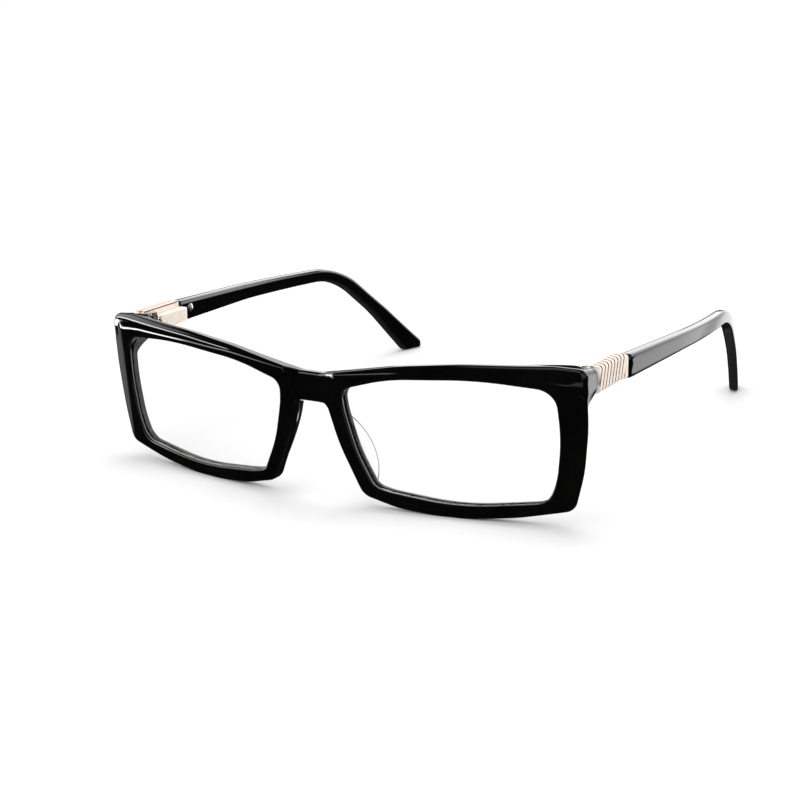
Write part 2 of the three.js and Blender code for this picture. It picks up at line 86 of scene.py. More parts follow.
# The long facet under the top edge: x, then how far below the top edge it ends and starts.
BROW = [
    (5.0, 0.4, 0.4), (12, 0.7, 0.8), (20, 1.05, 1.25), (30, 1.25, 1.95), (40, 1.4, 2.45),
    (47, 1.4, 2.65), (56, 1.5, 2.95), (64.5, 1.9, 4.0), (68, 1.9, 4.1),
]
BROW_SLOPE = 0.36
BROW_TURN = 0.16
# The bridge is scooped between two slanted creases.
SCOOP_HALF_WIDTH = 4.7
SCOOP_WIDENING = 0.285
SCOOP_SLOPE = 0.5
SCOOP_POWER = 3

# The scoop ends at this height. Edge radii of the front follow, and of a lens opening's rear.
SCOOP_BOTTOM = 20
EDGE_ROUND = 0.35
REAR_ROUND = 1.0
TOP_REAR_ROUND = 0.6
LOW_SIDE_REAR_ROUND = 0.55
OPENING_REAR_ROUND = 0.4
# The top edge lies above this height. The top edge's radius grows in over this band.
TOP_EDGE_ABOVE = 31
TOP_EDGE_SLANT = 0.35
TOP_BAND = (31.5, 33)
# Bands in x and z over which the rear radius changes, and the outer wall's lean.
ROUND_SIDE = (61, 65)
ROUND_LOW = (27, 31)
WALL_SIDE = (58, 65)
WALL_LOW = (28, 33)
# How much the outer wall of a temporal rim narrows to the rear, low down and at the block.
WALL_TAPER = 1.15
BLOCK_WALL_TAPER = 0.4
# The grooves that hold the lenses: depth below the face and how far into the rim.
GROOVE = [(0.9, 0.0), (1.7, 0.8), (2.5, 0.0)]

# The end block behind each outer corner.
BLOCK_REAR = 18.0
BLOCK_START_X = 51.0
BLOCK_FULL_X = 61.2
BLOCK_POWER = 2.2
BLOCK_BOTTOM = 27.6
BLOCK_FULL_Z = 31.4
BLOCK_TAPER = 0.32
BLOCK_TAPER_BAND = (26, 29)
BLOCK_TAPER_FULL_X = 56
BLOCK_TAPER_FROM = 8.5
BLOCK_MIDDLE = 34.2
# Over these bands in x and z, the block stands this far inside the opening's corner.
CORNER_SIDE = (57, 60.5)
CORNER_HIGH = (29, 33)
CORNER_LEDGE = 0.6

# Depths below the face of the lens, and how far its edge enters the groove.
LENS_NEAR = 1.0
LENS_FAR = 2.4
LENS_GAP = 0.04
LENS_BITE = 0.55
LENS_ROUND = 0.1
LENS_SPACING = 2.0

# The clear nose pads: a half-moon that leans with the side of the nose.
PAD_BOTTOM = 4.5
PAD_TOP = 24.5
PAD_DEPTH = 4.8
PAD_THICKNESS = 2.0
PAD_X = 9.4
PAD_LEAN = 0.45
PAD_SPLAY = 0.35
PAD_ROOT = 0.7
PAD_ROUND = 0.85
PAD_ROOT_ROUND = 0.3
PAD_ARC_POINTS = 40
PAD_STEP = 0.4
PAD_SPACING = 0.6

# The temple: x of its middle over y, and the arm's side outline (y, z, corner radius).
TEMPLE_X = 65.6
TEMPLE_X_AT = 18.0
TEMPLE_SPLAY = 0.0283
INWARD_FROM = 62.8
INWARD_RADIUS = 262.0
ARM_THICKNESS = 3.4
TIP_THICKNESS = 2.8
THIN_FROM = 100.0
TIP_Y = 150.0
ARM_OUTLINE = [
    (34.25, 31.0, 1.2), (70, 30.75, 200), (113.1, 29.2, 30), (130, 15.3, 70), (144.4, 0, 2.6),
    (151.6, 0, 2.4), (151.3, 2.4, 2.4), (136.5, 15.5, 70), (115.2, 32.5, 35), (70, 35.2, 200),
    (34.25, 36.95, 1.4),
]
ARM_STEP = 1.1
ARM_SPACING = 1.0
ARM_OUTER_ROUND = 0.7
ARM_INNER_ROUND = 1.1
ARM_END_ROUND = 1.1
ARM_END = (34.4, 37)

# The metal temple end: a rounded bar with rope ribs that wrap its outer side.
METAL_FRONT = 18.35
METAL_REAR = 33.2
METAL_INNER = 63.8
METAL_OUTER = 67.3
METAL_BOTTOM = 31.2
METAL_TOP = 37.7
METAL_CORNER = 1.1
METAL_INNER_CORNER = 0.3
RIB_PITCH = 1.86
RIB_RADIUS = 1.08
RIB_FIRST = 17.6
RIB_LEAN = 0.3
RIB_SAMPLES = 12
# The ribs grow in over this distance from the bar's inner face. Below the given depth the
# faces in the grooves get a dark copper colour: painted shade between the ribs.
RIB_GROWTH = (0.1, 0.9)
SHADED_GROOVE_DEPTH = 0.22
SECTION_STEP = 0.25
# The flange between the ribs and the arm: its y range and its outline (x, z, corner radius).
FLANGE_FRONT = 33.05
FLANGE_REAR = 34.0
FLANGE_OUTLINE = [(64.0, 31.1, 0.4), (67.6, 31.1, 0.9), (67.6, 37.2, 0.9), (64.0, 37.2, 0.4)]
FLANGE_ROUND = 0.3
FLANGE_STEP = 0.4
FLANGE_SPACING = 1.0

# The screw in each arm.
ARM_SCREW_Y = 39.8
ARM_SCREW_Z = 34.3
SCREW_RADIUS = 1.25
SCREW_DOME = 0.28
SCREW_DEPTH = 0.75
SCREW_SLOT_HALF = 0.17
SCREW_SLOT_DEPTH = 0.3
SCREW_SLOT_WALL = 0.06
SCREW_SIDES = 48
SCREW_TOP_ROUND = 0.1
SCREW_BASE_ROUND = 0.05
SCREW_TOP_SPACING = 0.12
SCREW_GUIDE = (-1.2, 1.2, 0.1)
SCREW_BASE_SPACING = 0.5

# ---- Studio ----

FLOOR_HALF = 4.0
FILL_LIGHT = 1.12
KEY_PLACE = (-0.15, 0.5, 1.6)
KEY_SIZE = 1.0
KEY_POWER = 6.0
# What reflections see: a dark room with soft panels. Azimuth runs from straight back (0)
# towards the wearer's left, elevation from the horizon up, both in degrees:
# from and to azimuth, from and to elevation, softness, strength.
STUDIO_DARK = 0.015
PANELS = {
    "front strip": (-161, -96, -11, -1.5, 3, 3),
    "front middle strip": (-141, -96, -11, -1.5, 6, 3),
    "front left strip": (-123, -96, -11, -1.5, 4, 16),
    "upper left strip": (-136, -92, 9, 15, 3, 13),
    "high left": (-115, -60, 10, 42, 8, 2.2),
    "rear left": (-47, -36, 8, 26, 4, 0.8),
    "rear": (-16, 27, -18, 11, 3, 1.15),
    "rear far": (-16, 7, -18, 11, 6, 0.7),
    "rear right": (14, 27, -18, 11, 6, 0.9),
    "rear top": (-16, 28, 12, 33, 4, 2.6),
    "rear left top": (-36, -14, 4, 33, 3, 2.4),
    "rear edge": (27, 36, 2, 30, 3, 3.0),
    "low left": (-90, -55, -26, -8, 6, 0.5),
    "front right": (118, 168, -21, -4, 5, 0.7),
    "right": (66, 132, 2, 55, 12, 0.8),
    "overhead": (-180, 180, 70, 95, 8, 1.0),
    "floor glow": (-180, 180, -95, -45, 12, 0.12),
}

CAMERA_PLACE = (0.22166, -0.42084, 0.13953)
CAMERA_YAW = 29.690
CAMERA_PITCH = 15.523
CAMERA_ROLL = -0.6892
CAMERA_LENS = 79.54
SENSOR_WIDTH = 36.0

# ---- How finely surfaces are divided ----

# Between the points inside a face and along an outline, in mm, and within an arc, in radians.
SPACING = 0.5
LOOP_STEP = 0.6
ARC_STEP = 0.16
ROUND_STEPS = 4
# The share of a side that a corner's rounding may take.
CORNER_SHARE = 0.48
# Shares of the spacing: the distance between rows, and the least distance from a guide point to
# a ring and from a grid point to any other.
ROW_SPACING = 0.866
GUIDE_CLEARANCE = 0.35
GRID_CLEARANCE = 0.6
# Where the lines along the creases of the face run, and how far they lie beside the crease.
BROW_GUIDE_X = (5.5, 67.5)
BROW_GUIDE_OFFSETS = (-0.3, -0.1, 0.1, 0.3)
BEVEL_GUIDE_Z = (3, 38)
BEVEL_GUIDE_OFFSETS = (-0.8, -0.3, 0.2, 0.8)
SCOOP_GUIDE_Z = (24.5, 34)
SCOOP_GUIDE_SHARES = (1.0, 0.93)
# Shares of the depth at which the front's walls have a ring, outside and behind the grooves.
OUTER_WALL_SHARES = np.linspace(0.1, 0.9, 7)
HOLE_WALL_SHARES = (0.85, 0.93)
# How many points are tested at a time for being inside the loops.
BATCH = 2000


# ---- Outlines ----

def rounded(corners, step=LOOP_STEP):
    """The closed polygon with its corners rounded and its long stretches divided."""
    points = []
    count = len(corners)
    for i, (u, v, radius) in enumerate(corners):
        corner = np.array((u, v), float)
        before = np.array(corners[i - 1][:2], float) - corner
        after = np.array(corners[(i + 1) % count][:2], float) - corner
        long_before, long_after = np.linalg.norm(before), np.linalg.norm(after)
        before, after = before / long_before, after / long_after
        half = math.acos(np.clip(before @ after, -1, 1)) / 2
        run = min(radius / math.tan(half), CORNER_SHARE * min(long_before, long_after))
        turn = math.pi - 2 * half
        arc = turn * run * math.tan(half)
        steps = max(2, math.ceil(turn / ARC_STEP), math.ceil(arc / step))
        inward = (before + after) / np.linalg.norm(before + after)
        centre = corner + inward * run / math.cos(half)
        spoke = corner + before * run - centre
        end = corner + after * run - centre
        side = np.sign(spoke[0] * end[1] - spoke[1] * end[0])
        for k in range(steps + 1):
            a = side * turn * k / steps
            c, s = math.cos(a), math.sin(a)
            points.append(centre + (spoke[0] * c - spoke[1] * s, spoke[0] * s + spoke[1] * c))
    return divided(np.array(points), step)


def divided(points, step):
    """The closed polygon with no stretch longer than step."""
    out = []
    for a, b in zip(points, np.roll(points, -1, axis=0)):
        pieces = max(1, math.ceil(np.linalg.norm(b - a) / step))
        out += [a + (b - a) * k / pieces for k in range(pieces)]
    return np.array(out)


def mirrored_loop(loop):
    return (loop * (-1, 1))[::-1]


def turned(loop, anticlockwise):
    """The loop in the asked direction."""
    x, y = loop.T
    area = np.sum(x * np.roll(y, -1) - np.roll(x, -1) * y)
    return loop if (area > 0) == anticlockwise else loop[::-1]


def outward(loop):
    """At each point, the direction that leaves the material on the left of the loop."""
    along = np.roll(loop, -1, axis=0) - np.roll(loop, 1, axis=0)
    along /= np.linalg.norm(along, axis=1)[:, None]
    return np.stack((along[:, 1], -along[:, 0]), axis=1)


def is_inside(points, loops):
    """Whether each point is inside an odd number of the loops."""
    found = np.zeros(len(points), bool)
    for loop in loops:
        ax, ay = loop.T
        bx, by = np.roll(loop, -1, axis=0).T
        for start in range(0, len(points), BATCH):
            x = points[start:start + BATCH, 0][:, None]
            y = points[start:start + BATCH, 1][:, None]
            crosses = (ay > y) != (by > y)
            at = ax + (y - ay) * (bx - ax) / np.where(by == ay, 1e-12, by - ay)
            found[start:start + BATCH] ^= np.sum(crosses & (x < at), axis=1) % 2 == 1
    return found


# ---- Shells: closed surfaces between two faces ----

class Shell:
    """The points and faces of one closed surface. Points are (u, v, w)."""

    def __init__(self):
        self.points = []
        self.faces = []

    def ring(self, loop, w):
        start = len(self.points)
        self.points += [(u, v, d) for (u, v), d in zip(loop, w)]
        return list(range(start, len(self.points)))

    def strip(self, a, b):
        for i in range(len(a)):
            j = (i + 1) % len(a)
            self.faces.append((a[i], a[j], b[j], b[i]))

    def fill(self, rings, surface, spacing, guides=()):
        """Triangles between the rings, on surface(u, v), with edges along the guides."""
        loops = [np.array([self.points[i][:2] for i in ring]) for ring in rings]
        flat = [Vector(p) for loop in loops for p in loop]
        ids = [i for ring in rings for i in ring]
        edges = []
        start = 0
        for loop in loops:
            n = len(loop)
            edges += [(start + i, start + (i + 1) % n) for i in range(n)]
            start += n
        add_guides(flat, edges, guides, loops, GUIDE_CLEARANCE * spacing)
        near = nearest_finder(flat)
        grid = staggered(loops, spacing)
        grid = grid[is_inside(grid, loops)]
        flat += [Vector(p) for p in grid if near.find((*p, 0))[2] > GRID_CLEARANCE * spacing]
        made, _, triangles, origins, _, _ = delaunay_2d_cdt(flat, edges, [], 1, 1e-6)
        ids += [None] * (len(flat) - len(ids))
        known = {}
        for k, (p, origin) in enumerate(zip(made, origins)):
            first = next((ids[o] for o in origin if ids[o] is not None), None)
            known[k] = first
        fresh = [k for k in known if known[k] is None]
        places = np.array([made[k][:] for k in fresh]).reshape(-1, 2)
        heights = surface(places[:, 0], places[:, 1])
        for k, (u, v), w in zip(fresh, places, heights):
            known[k] = len(self.points)
            self.points.append((u, v, w))
        centres = np.array([[sum(made[k][a] for k in t) / 3 for a in (0, 1)] for t in triangles])
        for t, ok in zip(triangles, is_inside(centres, loops)):
            if ok:
                self.faces.append(tuple(known[k] for k in t))


def nearest_finder(points):
    finder = KDTree(len(points))
    for i, p in enumerate(points):
        finder.insert((*p, 0), i)
    finder.balance()
    return finder


def add_guides(flat, edges, guides, loops, clearance):
    """Adds the guides' points, clear of the rings, and an edge between neighbours."""
    near = nearest_finder(flat)
    for guide in guides:
        last = None
        for p, ok in zip(guide, is_inside(guide, loops)):
            ok = ok and near.find((*p, 0))[2] > clearance
            if ok:
                flat.append(Vector(p))
                if last is not None:
                    edges.append((last, len(flat) - 1))
            last = len(flat) - 1 if ok else None


def staggered(loops, spacing):
    """Points in offset rows over the box of the loops."""
    low = np.min([loop.min(0) for loop in loops], axis=0)
    high = np.max([loop.max(0) for loop in loops], axis=0)
    rows = np.arange(low[1], high[1], spacing * ROW_SPACING)
    points = []
    for i, v in enumerate(rows):
        us = np.arange(low[0] + (i % 2) * spacing / 2, high[0], spacing)
        points.append(np.stack((us, np.full(len(us), v)), axis=1))
    return np.concatenate(points)


def constant(value):
    return lambda loop: np.full(len(loop), float(value))


def edge_rings(shell, loop, front, back, front_round, back_round, wall, ledge=None):
    """Rings from the front face round the loop's edge to the back face. wall holds the rings
    between: (share of the depth, inset) or, below zero, (minus the depth, inset)."""
    out = outward(loop)
    start_round, end_round = front_round(loop), back_round(loop)
    near = loop - out * start_round[:, None]
    shift = ledge(loop)[:, None] * out if ledge else np.zeros_like(loop)
    far = loop + shift - out * end_round[:, None]
    top = front(near[:, 0], near[:, 1])
    bottom = back(far[:, 0], far[:, 1])
    sign = np.sign(bottom - top)
    rings = []
    for k in range(ROUND_STEPS + 1):
        a = math.pi / 2 * k / ROUND_STEPS
        inset = (start_round * (1 - math.sin(a)))[:, None]
        rings.append(shell.ring(loop - out * inset, top + sign * start_round * (1 - math.cos(a))))
    upper = top + sign * start_round
    lower = bottom - sign * end_round
    for share, inset in wall:
        depth = top - sign * share if share < 0 else upper + (lower - upper) * share
        moved = shift * max(share, 0) if ledge else shift
        rings.append(shell.ring(loop + moved - out * inset, depth))
    for k in range(ROUND_STEPS + 1):
        a = math.pi / 2 * (1 - k / ROUND_STEPS)
        inset = (end_round * (1 - math.sin(a)))[:, None]
        level = bottom - sign * end_round * (1 - math.cos(a))
        rings.append(shell.ring(loop + shift - out * inset, level))
    for a, b in zip(rings, rings[1:]):
        shell.strip(a, b)
    return rings[0], rings[-1]


# ---- Objects ----

def place(points):
    """Millimetres in the drawing to metres in the frame."""
    return (np.asarray(points, float) - (0, ORIGIN_Y, 0)) * MM


def make(name, points, faces, body, material, replaces=()):
    mesh = bpy.data.meshes.new(name)
    mesh.from_pydata(place(points).tolist(), [], faces)
    shaped = bmesh.new()
    shaped.from_mesh(mesh)
    bmesh.ops.remove_doubles(shaped, verts=shaped.verts, dist=1e-6)
    bmesh.ops.recalc_face_normals(shaped, faces=shaped.faces)
    for face in shaped.faces:
        face.smooth = True
    shaped.to_mesh(mesh)
    shaped.free()
    mesh.materials.append(material)
    piece = bpy.data.objects.new(name, mesh)
    bpy.context.scene.collection.objects.link(piece)
    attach(piece, body)
    if replaces:
        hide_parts(*replaces)
    return piece


def for_side(points, side):
    return np.asarray(points, float) * (SIDES[side], 1, 1)


# ---- The front ----

def sheet_y(x, z, depth=0.0):
    lean = -SHEET_TILT * (z - SHEET_ZERO_HEIGHT)
    return SHEET_RADIUS - np.sqrt((SHEET_RADIUS - depth) ** 2 - x ** 2) + lean


def soft_ramp(t, turn):
    """Zero below zero and t above, with a smooth turn."""
    return turn * np.logaddexp(0, t / turn)


def smooth_step(low, high, x):
    t = np.clip((x - low) / (high - low), 0, 1)
    return t * t * (3 - 2 * t)


def front_outline():
    half = [(0, BRIDGE_UNDERSIDE, SHARP), *OUTLINE, (0, BRIDGE_TOP, SHARP)]
    loop = rounded(half)
    right = loop[loop[:, 0] > MIDDLE_GAP]
    first = np.argmin(np.hypot(right[:, 0], right[:, 1] - BRIDGE_UNDERSIDE))
    right = np.roll(right, -first, axis=0)
    middle_low = np.array([(0, BRIDGE_UNDERSIDE)])
    middle_top = np.array([(0, BRIDGE_TOP)])
    return np.concatenate((middle_low, right, middle_top, mirrored_loop(right)))


FRONT_LOOP = turned(front_outline(), True)
OPENING_LOOP = turned(rounded(OPENING), False)


def top_edge():
    """x and z along the top edge of the front, from the bridge to the temple."""
    out = outward(FRONT_LOOP)
    on_top = out[:, 1] > TOP_EDGE_SLANT
    on_top &= (FRONT_LOOP[:, 0] >= 0) & (FRONT_LOOP[:, 1] > TOP_EDGE_ABOVE)
    points = FRONT_LOOP[on_top]
    return points[np.argsort(points[:, 0])].T


TOP_X, TOP_Z = top_edge()


def top_z(x):
    return np.interp(np.abs(x), TOP_X, TOP_Z)


def brow_offsets(x):
    xs, ends, starts = np.array(BROW).T
    return np.interp(np.abs(x), xs, ends), np.interp(np.abs(x), xs, starts)


def scoop_half_width(z):
    return SCOOP_HALF_WIDTH + SCOOP_WIDENING * (z - BRIDGE_UNDERSIDE)


def face_depth(x, z):
    """How far the milled face lies behind the plain sheet."""
    far = np.abs(x)
    side = SIDE_BEVEL_SLOPE * soft_ramp(far - SIDE_BEVEL_X, SIDE_BEVEL_TURN)
    below = top_z(x) - z
    brow = BROW_SLOPE * soft_ramp(brow_offsets(x)[1] - below, BROW_TURN)
    width = scoop_half_width(z)
    share = np.clip(far / width, 0, 1)
    depth = width * SCOOP_SLOPE / SCOOP_POWER * (1 - share ** SCOOP_POWER)
    scoop = np.where(z > SCOOP_BOTTOM, depth, 0)
    return np.sqrt(side ** 2 + brow ** 2) + scoop


def front_y(x, z):
    return sheet_y(x, z, face_depth(x, z))


def block_share(x, z):
    along = np.clip((np.abs(x) - BLOCK_START_X) / (BLOCK_FULL_X - BLOCK_START_X), 0, 1)
    ramp = along ** BLOCK_POWER
    return ramp * smooth_step(BLOCK_BOTTOM, BLOCK_FULL_Z, z)


def back_y(x, z):
    plain = sheet_y(x, z, THICKNESS)
    return plain + (BLOCK_REAR - plain) * block_share(x, z)


def outer_round(loop):
    """Radius of the front edge round the outside: larger along the top."""
    top = smooth_step(*TOP_BAND, loop[:, 1])
    return EDGE_ROUND + (brow_offsets(loop[:, 0])[0] - EDGE_ROUND) * top


def outer_rear_round(loop):
    """Radius of the rear edge round the outside: smaller low on the sides and on the top."""
    side = smooth_step(*ROUND_SIDE, np.abs(loop[:, 0]))
    low = 1 - smooth_step(*ROUND_LOW, loop[:, 1])
    top = smooth_step(*TOP_BAND, loop[:, 1]) * (1 - side)
    on_side = (REAR_ROUND - LOW_SIDE_REAR_ROUND) * side * low
    return REAR_ROUND - on_side - (REAR_ROUND - TOP_REAR_ROUND) * top


def outer_ledge(loop):
    """The outer wall of a temporal rim leans in towards the rear."""
    side = smooth_step(*WALL_SIDE, np.abs(loop[:, 0]))
    low = 1 - smooth_step(*WALL_LOW, loop[:, 1])
    return -side * (BLOCK_WALL_TAPER + (WALL_TAPER - BLOCK_WALL_TAPER) * low)


def opening_ledge(loop):
    """The block stands a little inside the opening's outer top corner."""
    side = smooth_step(*CORNER_SIDE, np.abs(loop[:, 0]))
    return CORNER_LEDGE * side * smooth_step(*CORNER_HIGH, loop[:, 1])


def taper_block(points):
    """The end blocks narrow to the rear."""
    points = np.array(points, float)
    x, y, z = points.T
    back = np.clip((y - BLOCK_TAPER_FROM) / (BLOCK_REAR - BLOCK_TAPER_FROM), 0, 1)
    share = back * smooth_step(*BLOCK_TAPER_BAND, z)
    share *= smooth_step(BLOCK_START_X, BLOCK_TAPER_FULL_X, np.abs(x))
    points[:, 2] = BLOCK_MIDDLE + (z - BLOCK_MIDDLE) * (1 - BLOCK_TAPER * share)
    return points


def front_guides():
    """Lines along the creases of the milled face."""
    lines = []
    x = np.arange(*BROW_GUIDE_X, LOOP_STEP)
    for offset in BROW_GUIDE_OFFSETS:
        lines.append(np.stack((x, top_z(x) - brow_offsets(x)[1] + offset), axis=1))
    z = np.arange(*BEVEL_GUIDE_Z, LOOP_STEP)
    for offset in BEVEL_GUIDE_OFFSETS:
        lines.append(np.stack((np.full(len(z), SIDE_BEVEL_X + offset), z), axis=1))
    z = np.arange(*SCOOP_GUIDE_Z, LOOP_STEP)
    for share in SCOOP_GUIDE_SHARES:
        lines.append(np.stack((scoop_half_width(z) * share, z), axis=1))
    return lines + [line * (-1, 1) for line in lines]


def build_front(material):
    shell = Shell()
    starts, ends = [], []
    wall = [(share, 0.0) for share in OUTER_WALL_SHARES]
    first, last = edge_rings(
        shell, FRONT_LOOP, front_y, back_y, outer_round, outer_rear_round, wall, outer_ledge)
    starts.append(first)
    ends.append(last)
    hole_wall = [(-depth, inset) for depth, inset in GROOVE]
    hole_wall += [(share, 0.0) for share in HOLE_WALL_SHARES]
    for loop in (OPENING_LOOP, turned(mirrored_loop(OPENING_LOOP), False)):
        first, last = edge_rings(
            shell, loop, front_y, back_y, constant(EDGE_ROUND), constant(OPENING_REAR_ROUND),
            hole_wall, opening_ledge)
        starts.append(first)
        ends.append(last)
    shell.fill(starts, front_y, SPACING, front_guides())
    shell.fill(ends, back_y, SPACING)
    return make("front", taper_block([(x, y, z) for x, z, y in shell.points]), shell.faces,
                "front", material, ["front_frame"])


# ---- Lenses and nose pads ----

def build_lens(side, material):
    loop = turned(rounded(OPENING), True)
    loop = loop - outward(loop) * LENS_GAP
    near = lambda x, z: sheet_y(x, z, LENS_NEAR)
    far = lambda x, z: sheet_y(x, z, LENS_FAR)
    shell = Shell()
    wall = [(0.5, -LENS_BITE)]
    first, last = edge_rings(
        shell, loop, near, far, constant(LENS_ROUND), constant(LENS_ROUND), wall)
    shell.fill([first], near, LENS_SPACING)
    shell.fill([last], far, LENS_SPACING)
    points = for_side([(x, y, z) for x, z, y in shell.points], side)
    return make(f"clear_lens_{side}", points, shell.faces, "front", material,
                [f"lens_{side}"])


def pad_outline():
    """The half-moon: back from the rim, and up."""
    chord = PAD_TOP - PAD_BOTTOM
    radius = (chord ** 2 / 4 + PAD_DEPTH ** 2) / (2 * PAD_DEPTH)
    half = math.asin(chord / 2 / radius)
    angles = np.linspace(-half, half, PAD_ARC_POINTS)
    arc = np.stack((PAD_DEPTH - radius + radius * np.cos(angles),
                    chord / 2 + radius * np.sin(angles)), axis=1)
    root = np.array([(-PAD_ROOT, chord - PAD_ROOT), (-PAD_ROOT, PAD_ROOT)])
    return turned(divided(np.concatenate((arc, root)), PAD_STEP), True)


def build_nose_pad(side, material):
    shell = Shell()
    near = lambda u, v: np.full(np.shape(u), -PAD_THICKNESS / 2)
    far = lambda u, v: np.full(np.shape(u), PAD_THICKNESS / 2)
    round_edge = lambda loop: np.where(loop[:, 0] > 0, PAD_ROUND, PAD_ROOT_ROUND)
    first, last = edge_rings(shell, pad_outline(), near, far, round_edge, round_edge,
                             [(0.5, 0.0)])
    shell.fill([first], near, PAD_SPACING)
    shell.fill([last], far, PAD_SPACING)
    chord = PAD_TOP - PAD_BOTTOM
    back, up, across = np.array(shell.points, float).T
    z = PAD_BOTTOM + up
    x = PAD_X + across - PAD_LEAN * (up - chord / 2) + PAD_SPLAY * back
    y = sheet_y(x, z) + THICKNESS + back
    points = for_side(np.stack((x, y, z), axis=1), side)
    return make(f"clear_nose_pad_{side}", points, shell.faces, "front", material,
                [f"nose_pad_{side}"])


# ---- Temples ----

def temple_x(y):
    inward = np.maximum(y - INWARD_FROM, 0)
    return TEMPLE_X + TEMPLE_SPLAY * (y - TEMPLE_X_AT) - inward ** 2 / (2 * INWARD_RADIUS)


def arm_half(y):
    thin = smooth_step(THIN_FROM, TIP_Y, y)
    return (ARM_THICKNESS + (TIP_THICKNESS - ARM_THICKNESS) * thin) / 2


def arm_round(usual):
    """Edge radius round the arm's outline: larger at its front end."""

    def radius(loop):
        at_end = 1 - smooth_step(*ARM_END, loop[:, 0])
        return usual + (ARM_END_ROUND - usual) * at_end

    return radius


def build_arm(side, material):
    shell = Shell()
    outer = lambda y, z: temple_x(y) + arm_half(y)
    inner = lambda y, z: temple_x(y) - arm_half(y)
    loop = turned(rounded(ARM_OUTLINE, ARM_STEP), True)
    first, last = edge_rings(shell, loop, outer, inner, arm_round(ARM_OUTER_ROUND),
                             arm_round(ARM_INNER_ROUND), [(0.5, 0.0)])
    shell.fill([first], outer, ARM_SPACING)
    shell.fill([last], inner, ARM_SPACING)
    points = for_side([(x, y, z) for y, z, x in shell.points], side)
    return make(f"arm_{side}", points, shell.faces, f"temple_{side}", material,
                [f"temple_arm_{side}"])


def bar_section():
    """Outline of the metal bar in x and z, anticlockwise from its inner bottom corner, with
    each point's distance along it and its share of rib."""
    corners = [
        (METAL_INNER, METAL_BOTTOM, METAL_INNER_CORNER), (METAL_OUTER, METAL_BOTTOM, METAL_CORNER),
        (METAL_OUTER, METAL_TOP, METAL_CORNER), (METAL_INNER, METAL_TOP, METAL_INNER_CORNER),
    ]
    loop = rounded(corners, SECTION_STEP)
    steps = np.linalg.norm(np.diff(loop, axis=0, append=loop[:1]), axis=1)
    along = np.concatenate(([0], np.cumsum(steps)[:-1]))
    ribbed = smooth_step(*RIB_GROWTH, loop[:, 0] - METAL_INNER)
    return loop, along, ribbed


def rib_depth(offset):
    """Depth of the surface below the rib tops at an offset along the pitch."""
    phase = (offset / RIB_PITCH) % 1 - 0.5
    return RIB_RADIUS - np.sqrt(RIB_RADIUS ** 2 - (phase * RIB_PITCH) ** 2)


def bar_depth(x, z):
    """Depth of a place below the outer surface that the bar has at its rib tops."""
    middle, half = (METAL_TOP + METAL_BOTTOM) / 2, (METAL_TOP - METAL_BOTTOM) / 2
    across = max(x - METAL_OUTER + METAL_CORNER, 0)
    upward = max(abs(z - middle) - half + METAL_CORNER, 0)
    return METAL_CORNER - math.hypot(across, upward)


def build_metal_end(side, material, groove):
    loop, along, ribbed = bar_section()
    out = outward(loop)
    slant = math.tan(RIB_LEAN) * (along - along.max() / 2)
    reach = METAL_REAR - METAL_FRONT + 2 * np.abs(slant).max()
    count = math.ceil(reach / RIB_PITCH) * RIB_SAMPLES
    start = RIB_FIRST - math.ceil(np.abs(slant).max() / RIB_PITCH) * RIB_PITCH
    shell = Shell()
    rows = []
    for k in range(count + 1):
        offset = k / RIB_SAMPLES * RIB_PITCH
        y = np.clip(start + offset + slant, METAL_FRONT, METAL_REAR)
        depth = rib_depth(y - start - slant) * ribbed
        rows.append(shell.ring(loop - out * depth[:, None], y))
    for a, b in zip(rows, rows[1:]):
        shell.strip(a, b)
    shell.faces += [tuple(rows[0]), tuple(rows[-1])]
    points = for_side([(x, y, z) for x, z, y in shell.points], side)
    piece = make(f"ribbed_end_{side}", points, shell.faces, f"temple_{side}", material,
                 [f"metal_temple_end_{side}"])
    piece.data.materials.append(groove)
    # Faces deep in the grooves take the dark copper material: painted shade between the ribs.
    for polygon in piece.data.polygons:
        depth = bar_depth(abs(polygon.center.x) / MM, polygon.center.z / MM)
        if SHADED_GROOVE_DEPTH < depth < METAL_CORNER / 2:
            polygon.material_index = 1
    return piece


def build_flange(side, material):
    shell = Shell()
    front = lambda x, z: np.full(np.shape(x), FLANGE_FRONT)
    back = lambda x, z: np.full(np.shape(x), FLANGE_REAR)
    loop = turned(rounded(FLANGE_OUTLINE, FLANGE_STEP), True)
    first, last = edge_rings(shell, loop, front, back, constant(FLANGE_ROUND),
                             constant(FLANGE_ROUND), [(0.5, 0.0)])
    shell.fill([first], front, FLANGE_SPACING)
    shell.fill([last], back, FLANGE_SPACING)
    points = for_side([(x, y, z) for x, z, y in shell.points], side)
    return make(f"flange_{side}", points, shell.faces, f"temple_{side}", material)


